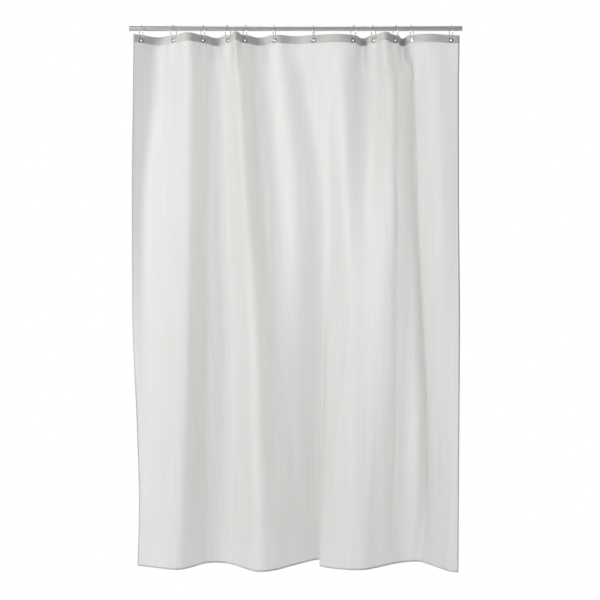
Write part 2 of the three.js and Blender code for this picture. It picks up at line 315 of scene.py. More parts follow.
def woven_polyester(name, colour, through):
    """Plain-woven polyester: matt, with a faint sheen, and it lets a share of the light through."""
    material = blank(name)
    flat = node(material, "ShaderNodeUVMap", {"uv_map": "cloth"}).outputs[0]
    # The threads are 0.25 mm apart. They are drawn 1.1 mm apart, because finer ones wouldn't show.
    pitch = WAVE_PERIOD / (1.1 * MM)
    warp = node(
        material, "ShaderNodeTexWave", {"bands_direction": "X"}, Vector=flat, Scale=pitch, Distortion=0.0
    ).outputs["Fac"]
    weft = node(
        material, "ShaderNodeTexWave", {"bands_direction": "Y"}, Vector=flat, Scale=pitch, Distortion=0.0
    ).outputs["Fac"]
    weave = node(material, "ShaderNodeMath", {"operation": "MAXIMUM"}, i0=warp, i1=weft).outputs[0]
    # Thicker yarns run down the cloth here and there, about 4 mm apart and 0.5 m long, and fainter ones run
    # across it, about 17 mm apart. They show as soft streaks where the light comes through.
    down = node(material, "ShaderNodeMapping", Vector=flat, Scale=(230, 2.2, 1)).outputs[0]
    slubs = node(material, "ShaderNodeTexNoise", Vector=down, Scale=1.0, Detail=3.0).outputs["Fac"]
    over = node(material, "ShaderNodeMapping", Vector=flat, Scale=(8, 60, 1)).outputs[0]
    crossing = node(material, "ShaderNodeTexNoise", Vector=over, Scale=1.0, Detail=2.0).outputs["Fac"]
    yarn = node(
        material, "ShaderNodeMath", {"operation": "MULTIPLY_ADD"}, i0=crossing, i1=0.12, i2=slubs
    ).outputs[0]
    shade = node(
        material, "ShaderNodeMapRange", Value=yarn, From_Min=0.4, From_Max=0.7, To_Min=0.955, To_Max=1.0
    ).outputs[0]
    tinted = node(
        material, "ShaderNodeMix", {"data_type": "RGBA", "blend_type": "MULTIPLY"}, i0=1.0, i6=colour,
        i7=shade,
    ).outputs[2]
    height = node(
        material, "ShaderNodeMath", {"operation": "MULTIPLY_ADD"}, i0=yarn, i1=0.8, i2=weave
    ).outputs[0]
    relief = node(material, "ShaderNodeBump", Strength=0.35, Distance=0.06 * MM, Height=height).outputs[0]
    face = node(
        material, "ShaderNodeBsdfPrincipled", Base_Color=tinted, Roughness=0.75, Sheen_Weight=0.08,
        Sheen_Roughness=0.5, Normal=relief,
    ).outputs[0]
    glow = node(material, "ShaderNodeBsdfTranslucent", Color=tinted, Normal=relief).outputs[0]
    shader = node(material, "ShaderNodeMixShader", i0=through, i1=face, i2=glow).outputs[0]
    return finish_material(material, shader)


def thread(name, colour):
    """Spun polyester sewing thread: matt and slightly fuzzy, broken up by the grooves of its twist."""
    material = blank(name)
    place = node(material, "ShaderNodeTexCoord").outputs["Object"]
    # The grooves of the twist are about 0.5 mm apart.
    twist = node(material, "ShaderNodeTexNoise", Vector=place, Scale=1800.0, Detail=2.0).outputs["Fac"]
    relief = node(material, "ShaderNodeBump", Strength=0.4, Distance=0.04 * MM, Height=twist).outputs[0]
    shader = node(
        material, "ShaderNodeBsdfPrincipled", Base_Color=colour, Roughness=0.6, Sheen_Weight=0.1,
        Normal=relief,
    ).outputs[0]
    return finish_material(material, shader)


# ---------------------------------------------------------------- modelling helpers


def deselect_all():
    if bpy.context.object and bpy.context.object.mode != "OBJECT":
        bpy.ops.object.mode_set(mode="OBJECT")
    bpy.ops.object.select_all(action="DESELECT")


def make_active(piece):
    deselect_all()
    piece.select_set(True)
    bpy.context.view_layer.objects.active = piece


def bake_place(piece):
    """Puts the object's place, turn and size into its mesh."""
    make_active(piece)
    bpy.ops.object.transform_apply(location=True, rotation=True, scale=True)


def apply_modifier(piece, kind, **settings):
    make_active(piece)
    modifier = piece.modifiers.new(kind.title(), kind)
    for key, value in settings.items():
        setattr(modifier, key, value)
    bpy.ops.object.modifier_apply(modifier=modifier.name)


def smooth_edges(piece, angle=35):
    make_active(piece)
    bpy.ops.object.shade_smooth_by_angle(angle=math.radians(angle))


def edit_points(piece):
    """Goes into edit mode with point selection on and everything selected."""
    make_active(piece)
    bpy.ops.object.mode_set(mode="EDIT")
    bpy.ops.mesh.select_mode(type="VERT")
    bpy.ops.mesh.select_all(action="SELECT")


def close_up(piece):
    """Merges doubled points and turns every face outwards."""
    edit_points(piece)
    bpy.ops.mesh.remove_doubles(threshold=1e-6)
    bpy.ops.mesh.normals_make_consistent(inside=False)
    bpy.ops.object.mode_set(mode="OBJECT")


def select_faces(piece, wanted):
    """Goes into edit mode with only the wanted faces selected."""
    make_active(piece)
    bpy.ops.object.mode_set(mode="EDIT")
    bpy.ops.mesh.select_mode(type="FACE")
    bpy.ops.object.mode_set(mode="OBJECT")
    for part in (piece.data.vertices, piece.data.edges, piece.data.polygons):
        part.foreach_set("select", [False] * len(part))
    for face in piece.data.polygons:
        face.select = wanted(face)
    bpy.ops.object.mode_set(mode="EDIT")


def finished(piece, material, body):
    piece.data.materials.clear()
    piece.data.materials.append(material)
    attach(piece, body)
    return piece


def placed_copy(piece, name, matrix):
    """A copy with its own mesh, moved to its place."""
    copy = piece.copy()
    copy.data = piece.data.copy()
    copy.name = copy.data.name = name
    copy.data.transform(matrix)
    bpy.context.scene.collection.objects.link(copy)
    return copy


def linked(name, mesh):
    """An object of this mesh, in the scene."""
    piece = bpy.data.objects.new(name, mesh)
    bpy.context.scene.collection.objects.link(piece)
    return piece


def remove(piece):
    mesh = piece.data
    bpy.data.objects.remove(piece)
    bpy.data.meshes.remove(mesh)


def lathe(name, profile, steps):
    """Draws a closed profile by extruding a point, and spins it about the Y axis. Points are (radius, y)."""
    deselect_all()
    bpy.ops.mesh.primitive_plane_add(size=0.001, location=(0, 0, 0))
    piece = bpy.context.object
    piece.name = piece.data.name = name
    edit_points(piece)
    bpy.ops.mesh.merge(type="CENTER")
    bpy.ops.mesh.select_all(action="SELECT")
    bpy.ops.transform.translate(value=(profile[0][0], profile[0][1], 0))
    for (radius_a, y_a), (radius_b, y_b) in zip(profile, profile[1:] + profile[:1]):
        step = (radius_b - radius_a, y_b - y_a, 0)
        bpy.ops.mesh.extrude_region_move(TRANSFORM_OT_translate={"value": step})
    bpy.ops.mesh.select_all(action="SELECT")
    bpy.ops.mesh.remove_doubles(threshold=1e-7)
    bpy.ops.mesh.select_all(action="SELECT")
    bpy.ops.mesh.spin(steps=steps, angle=2 * math.pi, center=(0, 0, 0), axis=(0, 1, 0))
    close_up(piece)
    return piece


# ---------------------------------------------------------------- the sheet's path


def path_length(points):
    return float(np.linalg.norm(np.diff(points, axis=0), axis=1).sum())


def solve_rising(rising, low, high):
    """The value at which a rising function reaches zero."""
    for _ in range(40):
        middle = (low + high) / 2
        if rising(middle) < 0:
            low = middle
        else:
            high = middle
    return (low + high) / 2


def header_stretch(start_x, gap, turn_a, turn_b, side, length):
    """The cloth between two eyelets: flat at each, and a fold between that takes up its length."""
    from_point = np.array([start_x + FLAT_HALF * math.cos(turn_a), FLAT_HALF * math.sin(turn_a)])
    to_point = np.array([start_x + gap - FLAT_HALF * math.cos(turn_b), -FLAT_HALF * math.sin(turn_b)])
    width = to_point[0] - from_point[0]
    u = np.linspace(0, 1, FOLD_POINTS)
    ease = u * u * (3 - 2 * u)
    leave = u * (1 - u) ** 2 * width * math.tan(turn_a)
    arrive = u * u * (1 - u) * width * math.tan(turn_b)
    level = from_point[1] + (to_point[1] - from_point[1]) * ease + leave - arrive
    bulge = side * (1 - np.abs(np.cos(math.pi * u)) ** FOLD_FULLNESS)

    def with_depth(depth):
        middle = np.column_stack([from_point[0] + width * u, level + depth * bulge])
        return np.vstack([[start_x, 0], middle, [start_x + gap, 0]])

    return with_depth(solve_rising(lambda depth: path_length(with_depth(depth)) - length, 0, length))


def header_path(width):
    """The sheet's path along the header, and the distance along the cloth of each of its points."""
    turns = [math.radians(turn) for turn in EYELET_TURN]
    pitch = (width - 2 * SIDE_MARGIN) / (COUNT - 1)
    first, last = RINGS[0].x, RINGS[-1].x
    points = [[[first - SIDE_MARGIN * math.cos(turns[0]), -SIDE_MARGIN * math.sin(turns[0])]]]
    for i in range(COUNT - 1):
        gap = RINGS[i + 1].x - RINGS[i].x
        points.append(header_stretch(RINGS[i].x, gap, turns[i], turns[i + 1], FOLD_SIDE[i], pitch)[:-1])
    points.append([[last, 0], [last + SIDE_MARGIN * math.cos(turns[-1]), SIDE_MARGIN * math.sin(turns[-1])]])
    points = np.vstack(points)
    along = np.concatenate([[0], np.cumsum(np.linalg.norm(np.diff(points, axis=0), axis=1))])
    return points, along * width / along[-1]


def rounded_path(corners):
    """A smooth path through the folds of one row (a centripetal Catmull-Rom curve)."""
    ends = np.vstack([2 * corners[0] - corners[1], corners, 2 * corners[-1] - corners[-2]])
    pieces = []
    share = np.linspace(0, 1, PER_FOLD, endpoint=False)[:, None]
    for i in range(1, len(ends) - 2):
        p = ends[i - 1 : i + 3]
        knots = np.concatenate([[0], np.cumsum(np.linalg.norm(np.diff(p, axis=0), axis=1) ** 0.5)])
        t = knots[1] + (knots[2] - knots[1]) * share

        def between(a, b, ta, tb):
            return (tb - t) / (tb - ta) * a + (t - ta) / (tb - ta) * b

        a1 = between(p[0], p[1], knots[0], knots[1])
        a2 = between(p[1], p[2], knots[1], knots[2])
        a3 = between(p[2], p[3], knots[2], knots[3])
        b1 = between(a1, a2, knots[0], knots[2])
        b2 = between(a2, a3, knots[1], knots[3])
        pieces.append(between(b1, b2, knots[1], knots[2]))
    return np.vstack(pieces + [corners[-1:]])


def follow_levels(values, below):
    """A value per level as a smooth run of values down the sheet (monotone cubic between levels)."""
    x = np.array(LEVELS, float)
    y = np.array(values, float)
    step = np.diff(x)
    rise = np.diff(y) / step
    slope = np.zeros(len(x))
    for i in range(1, len(x) - 1):
        if rise[i - 1] * rise[i] > 0:
            w1, w2 = 2 * step[i] + step[i - 1], step[i] + 2 * step[i - 1]
            slope[i] = (w1 + w2) / (w1 / rise[i - 1] + w2 / rise[i])
    slope[0], slope[-1] = rise[0], rise[-1]
    at = np.clip(below, x[0], x[-1])
    i = np.clip(np.searchsorted(x, at, side="right") - 1, 0, len(x) - 2)
    h = step[i]
    t = (at - x[i]) / h
    return (
        y[i] * (2 * t**3 - 3 * t**2 + 1)
        + h * slope[i] * (t**3 - 2 * t**2 + t)
        + y[i + 1] * (3 * t**2 - 2 * t**3)
        + h * slope[i + 1] * (t**3 - t**2)
    )


def smoothstep(value, low, high):
    t = np.clip((value - low) / (high - low), 0, 1)
    return t * t * (3 - 2 * t)


PUCKER_FADE = 0.16  # the puckers under the header seam die away over about this distance
REACH = 1.5 * MM  # how far each side of a point the sheet's heading there is taken from


class Sheet:
    """Where any point of the hung sheet lies, from its distance along the cloth and below the top edge."""

    def __init__(self, sizes):
        self.width = sizes.width
        self.drop = sizes.drop
        self.header = sizes.header
        self.wrinkle = sizes.wrinkle
        self.thickness = sizes.thickness
        self.pitch = (self.width - 2 * SIDE_MARGIN) / (COUNT - 1)
        self.top_points, self.top_along = header_path(self.width)
        self.folds = np.array([[list(level) for level in fold[1:]] for fold in FOLDS], float) * MM
        self.deepen = [self._deepening(self.folds[:, level]) for level in range(len(LEVELS))]
        marks = np.interp([fold[0] * MM for fold in FOLDS], self.top_points[:, 0], self.top_along)
        marks[0], marks[-1] = 0, self.width
        share = np.arange((len(FOLDS) - 1) * PER_FOLD + 1) / PER_FOLD
        self.top_marks = np.interp(share, np.arange(len(FOLDS)), marks)
        # Fixed heights from -1 to 1 for three kinds of wrinkle, each 12 cells down by 90 across.
        self.noise = np.random.RandomState(11).uniform(-1, 1, (3, 12, 90))
        self.rows = {}
        self.creases = [
            (self._flat_place(*start), self._flat_place(*end), width * MM, height * MM)
            for start, end, width, height in CREASES
        ]

    def _deepening(self, corners):
        """How much one level's folds are deepened so that its path is as long as the sheet is wide."""

        def too_long(scale):
            return path_length(rounded_path(corners * (1, scale))) - self.width

        return solve_rising(too_long, 0.6, 2.5)

    def _flat_place(self, x, below):
        """A place given along the rod, as a distance along the cloth. Both are in millimetres."""
        path, along = self.row(below * MM)
        return np.array([np.interp(x * MM, path[:, 0], along), below * MM])

    def _noise(self, layer, across, down, cell_across, cell_down):
        """Smooth noise from one layer's heights, whose cells have the given width and length."""
        grid = self.noise[layer]
        x = across / cell_across
        y = down / cell_down
        i, j = np.floor(x).astype(int), int(math.floor(y))
        fx, fy = x - i, y - j
        fx, fy = fx * fx * (3 - 2 * fx), fy * fy * (3 - 2 * fy)
        rows, columns = grid.shape
        a = grid[j % rows, i % columns] * (1 - fx) + grid[j % rows, (i + 1) % columns] * fx
        b = grid[(j + 1) % rows, i % columns] * (1 - fx) + grid[(j + 1) % rows, (i + 1) % columns] * fx
        return a * (1 - fy) + b * fy

    def row(self, below):
        """The sheet's path in plan at a distance below its top edge, and how far along it each point is."""
        if below not in self.rows:
            self.rows[below] = self._worked_out_row(below)
        return self.rows[below]

    def _worked_out_row(self, below):
        mix = float(smoothstep(below, self.header, LEVELS[0] * MM))
        if mix == 0:
            return self.top_points, self.top_along
        level = below / MM
        corners = np.array([[follow_levels(fold[:, i], level) for i in (0, 1)] for fold in self.folds])
        corners[:, 1] *= follow_levels(self.deepen, level)
        body = rounded_path(corners)
        top = np.column_stack(
            [np.interp(self.top_marks, self.top_along, self.top_points[:, i]) for i in (0, 1)]
        )
        points = top * (1 - mix) + body * mix
        along = np.concatenate([[0], np.cumsum(np.linalg.norm(np.diff(points, axis=0), axis=1))])
        return points, along * self.width / along[-1]

    def wrinkles(self, across, below):
        """Heights of the small puckers, tightest under the header seam, and of the creases."""
        under = math.exp(-max(0.0, below - self.header) / PUCKER_FADE)
        if below < self.header:
            under = smoothstep(below, self.header * 0.6, self.header) * 0.6
        fine = self._noise(0, across, below, 0.03, 0.22) * under
        long = self._noise(1, across, below, 0.055, 0.6) * smoothstep(below, self.header, 0.25)
        wide = self._noise(2, across, below, 0.11, 0.45) * smoothstep(below, self.header, 0.4)
        total = self.wrinkle * (0.9 * fine + 0.8 * long + 1.4 * wide)
        for start, end, width, height in self.creases:
            run = end - start
            t = ((across - start[0]) * run[0] + (below - start[1]) * run[1]) / run.dot(run)
            nearest = np.clip(t, 0, 1)
            off = np.hypot(across - start[0] - nearest * run[0], below - start[1] - nearest * run[1])
            fade = np.clip(4 * t * (1 - t), 0, 1) ** 0.5
            total = total + height * fade * np.exp(-((off / width) ** 2))
        return total

    def points(self, across, below, behind=0.0):
        """Where points at these distances across the cloth lie, at one height, a distance behind the path."""
        path, along = self.row(below)
        before, here, after = (
            np.column_stack([np.interp(across + offset, along, path[:, i]) for i in (0, 1)])
            for offset in (-REACH, 0, REACH)
        )
        heading = after - before
        heading /= np.linalg.norm(heading, axis=1)[:, None]
        back = np.column_stack([-heading[:, 1], heading[:, 0]])
        here = here + back * (behind + self.wrinkles(across, below))[:, None]
        return np.column_stack([here, np.full(len(here), TOP_Z - below)])


# ---------------------------------------------------------------- cloth pieces


def sheet_columns(sheet):
    """Distances across the cloth of the columns of points, and which column starts each eyelet's block."""
    columns, blocks = [], []
    edge = 0.0
    for i in range(COUNT):
        middle = SIDE_MARGIN + i * sheet.pitch
        steps = max(2, round((middle - 2 * BLOCK_STEP - edge) / COLUMN_STEP))
        columns += list(np.linspace(edge, middle - 2 * BLOCK_STEP, steps, endpoint=False))
        blocks.append(len(columns))
        columns += block_steps(middle)
        edge = middle + 2 * BLOCK_STEP
    columns += list(np.linspace(edge, sheet.width, 4))
    return np.array(columns), blocks


def block_steps(middle):
    """Where the points of a block lie, apart from its last ones."""
    return [middle + BLOCK_STEP * k for k in (-2, -1, 0, 1)]


def block_outline(row, column):
    """The (row, column) points round an eyelet's block, from its first corner."""
    sides = range(BLOCK)
    outline = [(row, column + k) for k in sides]
    outline += [(row + k, column + BLOCK) for k in sides]
    outline += [(row + BLOCK, column + BLOCK - k) for k in sides]
    outline += [(row + BLOCK - k, column) for k in sides]
    return outline


def cloth_grid(name, sheet, columns, rows, behind, holes=(), first_row=0):
    """A sheet of the cloth as an open mesh that faces the room, with a round hole in each eyelet's block."""
    across, down = len(columns), len(rows)
    points = [tuple(p) for p in np.vstack([sheet.points(columns, below, behind) for below in rows])]
    flat = [(c, -r) for r in rows for c in columns]
    skip_faces, skip_points, extra_faces = set(), set(), []
    for start in holes:
        outline = block_outline(first_row, start)
        middle = columns[start + BLOCK // 2]
        inner = []
        for r, c in outline:
            offset = Vector((columns[c] - middle, rows[r] - EYELET_DROP)).normalized() * HOLE
            cut = (middle + offset.x, EYELET_DROP + offset.y)
            inner.append(len(points))
            points.append(tuple(sheet.points(np.array([cut[0]]), cut[1], behind)[0]))
            flat.append((cut[0], -cut[1]))
        outer = [r * across + c for r, c in outline]
        for k in range(len(outline)):
            n = (k + 1) % len(outline)
            extra_faces.append((outer[k], inner[k], inner[n], outer[n]))
        for r in range(first_row, first_row + BLOCK):
            for c in range(start, start + BLOCK):
                skip_faces.add((r, c))
                if r > first_row and c > start:
                    skip_points.add(r * across + c)
    faces = [
        (r * across + c, (r + 1) * across + c, (r + 1) * across + c + 1, r * across + c + 1)
        for r in range(down - 1)
        for c in range(across - 1)
        if (r, c) not in skip_faces
    ] + extra_faces
    kept = [i for i in range(len(points)) if i not in skip_points]
    renumber = {old: new for new, old in enumerate(kept)}
    mesh = bpy.data.meshes.new(name)
    mesh.from_pydata([points[i] for i in kept], [], [[renumber[i] for i in face] for face in faces])
    uv = mesh.uv_layers.new(name="cloth")
    flat = [flat[i] for i in kept]
    for loop in mesh.loops:
        uv.data[loop.index].uv = flat[loop.vertex_index]
    return linked(name, mesh)


def thicken(piece, thickness):
    """Gives the open sheet its thickness, behind the face that it was made on."""
    apply_modifier(piece, "SOLIDIFY", thickness=thickness, offset=-1, use_rim=True, use_even_offset=False)
    piece.data.polygons.foreach_set("use_smooth", [True] * len(piece.data.polygons))
    piece.data.update()


def hem_face(sheet):
    """How far behind the path the hems start."""
    return FRONT + sheet.thickness + GAP


def hang(piece, material):
    """Gives a piece of cloth its material and hangs it from the first ring's body, with a mesh of its own."""
    finished(piece, material, CURTAIN_BODY)
    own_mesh(piece)
    return piece


def one_stitch():
    """The points and faces of one stitch, 1 long, whose two ends dip into the cloth."""
    deselect_all()
    bpy.ops.mesh.primitive_cylinder_add(vertices=6, radius=THREAD, depth=1, rotation=(0, math.pi / 2, 0))
    one = bpy.context.object
    edit_points(one)
    for bend in (0.3, -0.3):
        bpy.ops.mesh.select_all(action="SELECT")
        bpy.ops.mesh.bisect(plane_co=(bend, 0, 0), plane_no=(1, 0, 0))
    bpy.ops.object.mode_set(mode="OBJECT")
    bake_place(one)
    shape = np.array([v.co for v in one.data.vertices])
    faces = [tuple(f.vertices) for f in one.data.polygons]
    remove(one)
    between_bends = np.abs(shape[:, 0]) < 0.4
    shape[between_bends, 1] -= STITCH_RISE
    return shape, faces


def build_stitches(name, sheet, seam, material, length):
    """A row of stitches on both faces. The seam is the (across, below) places of its two ends."""
    seam = np.array(seam)
    seam_length = float(np.linalg.norm(seam[1] - seam[0]))
    shape, faces = one_stitch()
    reach = 0.42 * length  # half of a stitch, short of the hole that it shares with the next
    points, made = [], []
    for face_side in (-1, 1):
        for i in range(int(seam_length / length)):
            middle = (i + (0.5 if face_side < 0 else 0.0)) * length
            if middle < 0.5 * length:
                continue
            ends = []
            for at in (middle - reach, middle + reach):
                across, below = (float(np.interp(at, (0, seam_length), way)) for way in seam.T)
                depth = FRONT if face_side < 0 else seam_back(sheet, below)
                ends.append(Vector(sheet.points(np.array([across]), below, depth)[0]))
            run = ends[1] - ends[0]
            side = Vector((0, face_side, 0))
            x_axis = run.normalized()
            z_axis = x_axis.cross(side).normalized()
            y_axis = z_axis.cross(x_axis)
            centre = (ends[0] + ends[1]) / 2
            start = len(points)
            for x, y, z in shape:
                points.append(centre + x_axis * x * run.length - y_axis * y + z_axis * z)
            made += [tuple(start + v for v in face) for face in faces]
    mesh = bpy.data.meshes.new(name)
    mesh.from_pydata([tuple(p) for p in points], [], made)
    piece = linked(name, mesh)
    close_up(piece)
    piece.data.polygons.foreach_set("use_smooth", [True] * len(piece.data.polygons))
    return hang(piece, material)


def seam_back(sheet, below):
    """How far behind the path the back stitches lie, half sunk into the last of the hem's three layers."""
    layers = 3 if below <= sheet.header else 2.6  # the header also has its turned edge there
    return FRONT + layers * sheet.thickness + GAP


# ---------------------------------------------------------------- operators


FLOOR_SIZE = 7.0
FLOOR_PLACE = (0, -2.3, CAD_BOX[0].z - 0.45)
CAMERA_PLACE = (0.016, -5.0, -1.0228)
LENS = 79.6
ROOM_LIGHT = 0.43  # strength of the white surroundings, as the object sees them

# Name, place, what it points at, size and watts of each soft light
LIGHTS = (
    ("key light", (-4.6, -4.0, 1.5), (0, 0, -0.6), (2.2, 2.2), 245),
    ("backdrop glow", (0, 2.2, -0.5), (0, 0, -0.7), (5.5, 1.7), 50),
    ("top light", (0, 0, 5.5), (0, 0, -2), (2.5, 2.5), 60),
)


class CURTAIN_OT_stage(bpy.types.Operator):
    """Add the pale floor, the soft studio light and the camera"""

    bl_idname = "curtain.stage"
    bl_label = "Stage"

    def execute(self, context):
        scene = context.scene
        scene.view_settings.view_transform = "Standard"
        scene.view_settings.look = "None"
        deselect_all()
        bpy.ops.mesh.primitive_plane_add(size=FLOOR_SIZE, location=FLOOR_PLACE)
        floor = context.object
        floor.name = "floor"
        # Matt emulsion: no shine at all, so that it only shows soft shadows.
        matt = blank("matt floor paint")
        shader = node(matt, "ShaderNodeBsdfDiffuse", Color=linear("#E6E6E6")).outputs[0]
        floor.data.materials.append(finish_material(matt, shader))

        # White surroundings that light the object less than they show.
        world = bpy.data.worlds.new("studio")
        scene.world = world
        world.use_nodes = True
        tree = world.node_tree
        tree.nodes.clear()
        seen = tree.nodes.new("ShaderNodeLightPath")
        strength = tree.nodes.new("ShaderNodeMapRange")
        strength.inputs["To Min"].default_value = ROOM_LIGHT
        strength.inputs["To Max"].default_value = 1.0
        background = tree.nodes.new("ShaderNodeBackground")
        background.inputs["Color"].default_value = (1, 1, 1, 1)
        output = tree.nodes.new("ShaderNodeOutputWorld")
        tree.links.new(seen.outputs["Is Camera Ray"], strength.inputs["Value"])
        tree.links.new(strength.outputs[0], background.inputs["Strength"])
        tree.links.new(background.outputs[0], output.inputs[0])

        for name, place, target, size, watts in LIGHTS:
            light = bpy.data.lights.new(name, "AREA")
            light.shape = "RECTANGLE"
            light.size, light.size_y = size
            light.energy = watts
            lamp = bpy.data.objects.new(name, light)
            lamp.location = place
            lamp.rotation_euler = (Vector(target) - Vector(place)).to_track_quat("-Z", "Y").to_euler()
            lamp.visible_camera = False
            scene.collection.objects.link(lamp)

        camera = bpy.data.cameras.new("camera")
        camera.sensor_width = 36
        camera.lens = LENS
        holder = bpy.data.objects.new("camera", camera)
        holder.location = CAMERA_PLACE
        holder.rotation_euler = (math.radians(90), 0, 0)
        scene.collection.objects.link(holder)
        scene.camera = holder
        return {"FINISHED"}


class CURTAIN_OT_rod(bpy.types.Operator):
    """Make the round rod and the plug in each of its ends"""

    bl_idname = "curtain.rod"
    bl_label = "Rod"

    def execute(self, context):
        sizes = context.scene.curtain_rod
        radius = (ROD_HIGH.z - ROD_LOW.z) / 2
        length = ROD_HIGH.x - ROD_LOW.x
        colour = list(sizes.colour) + [1.0]
        # Drawn, satin and anodised: an even pale grey with one soft, wide highlight along the tube.
        aluminium = brushed_metal("satin anodised aluminium", colour, 0.32, "X", 0.5 * MM)
        deselect_all()
        bpy.ops.mesh.primitive_cylinder_add(
            vertices=96, radius=radius, depth=length, location=(0, 0, 0), rotation=(0, math.pi / 2, 0)
        )
        rod = context.object
        rod.name = rod.data.name = "rod"
        bake_place(rod)
        select_faces(rod, lambda face: abs(face.normal.x) > 0.9)
        bpy.ops.mesh.inset(thickness=sizes.wall, use_individual=True)
        bpy.ops.mesh.bridge_edge_loops()
        bpy.ops.object.mode_set(mode="OBJECT")
        close_up(rod)
        apply_modifier(
            rod, "BEVEL", width=sizes.edge, segments=3, limit_method="ANGLE", angle_limit=math.radians(50)
        )
        smooth_edges(rod)
        finished(rod, aluminium, "rod")
        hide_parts("rod_tube")

        # Nylon, moulded and matt: flat grey next to the metal's shine.
        plastic = moulded_plastic("moulded grey nylon", linear("#9C9EA0"))
        for side, node_name in ((-1, "rod_plug_left"), (1, "rod_plug_right")):
            low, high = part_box(node_name)
            outer = high.x if side > 0 else low.x
            plug = self.plug(radius, sizes.wall, high.x - low.x, side, outer)
            plug.name = plug.data.name = node_name.replace("rod_plug", "end_plug")
            finished(plug, plastic, "rod")
            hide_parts(node_name)
        return {"FINISHED"}

    def plug(self, radius, wall, length, side, outer):
        """A flanged plug: its cap is as wide as the tube and slightly dished, and its spigot is ribbed."""
        under = length - 1.5 * MM  # the underside of the cap, from the spigot's end
        spigot = radius - wall - 0.3 * MM
        edge = 0.35 * MM
        profile = [
            (0, 0), (spigot - 0.6 * MM, 0), (spigot - 0.1 * MM, 0.8 * MM), (spigot - 0.3 * MM, 5 * MM),
            (spigot, 6 * MM), (spigot - 0.3 * MM, 7 * MM), (spigot - 0.3 * MM, 11 * MM), (spigot, 12 * MM),
            (spigot - 0.3 * MM, 13 * MM), (spigot - 0.3 * MM, under), (radius - 0.1 * MM, under),
            (radius, under + 0.1 * MM), (radius, length - edge), (radius - 0.1 * MM, length - 0.1 * MM),
            (radius - edge, length), (radius - 1.6 * MM, length), (radius - 2.1 * MM, length - 0.25 * MM),
            (0, length - 0.25 * MM),
        ]
        plug = lathe("plug", profile, 64)
        turn = Matrix.Rotation(-side * math.pi / 2, 4, "Z")
        plug.data.transform(Matrix.Translation((outer - side * length, 0, 0)) @ turn)
        smooth_edges(plug, 30)
        return plug


class CURTAIN_OT_rings(bpy.types.Operator):
    """Bend one ring of round wire and hang it at each of the twelve places"""

    bl_idname = "curtain.rings"
    bl_label = "Rings"

    def execute(self, context):
        sizes = context.scene.curtain_ring
        circle = RING_HALF - sizes.wire
        slit = sizes.slit / circle
        # Polished and chromed: thin wire with sharp bright and dark lines along it.
        steel = brushed_metal("polished chromed steel wire", linear("#D9DADC"), 0.12, "Z", 0.4 * MM)
        deselect_all()
        bpy.ops.mesh.primitive_circle_add(
            vertices=20, radius=sizes.wire, location=(0, circle, 0), rotation=(0, 0, 0)
        )
        ring = context.object
        bake_place(ring)
        edit_points(ring)
        bpy.ops.mesh.spin(steps=120, angle=2 * math.pi - slit, center=(0, 0, 0), axis=(1, 0, 0))
        bpy.ops.mesh.select_all(action="SELECT")
        bpy.ops.mesh.fill_holes(sides=0)
        bpy.ops.object.mode_set(mode="OBJECT")
        close_up(ring)
        apply_modifier(
            ring, "BEVEL", width=0.25 * MM, segments=2, limit_method="ANGLE", angle_limit=math.radians(60)
        )
        smooth_edges(ring, 40)
        for number, place, turn in zip(HANGERS, RINGS, EYELET_TURN):
            yaw = Matrix.Rotation(math.radians(turn) * sizes.follow, 4, "Z")
            copy = placed_copy(ring, f"ring_{number}", Matrix.Translation(place) @ yaw)
            finished(copy, steel, f"hanger_{number}")
            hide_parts(f"ring_wire_{number}")
        remove(ring)
        return {"FINISHED"}


EYELET_STEPS = 48


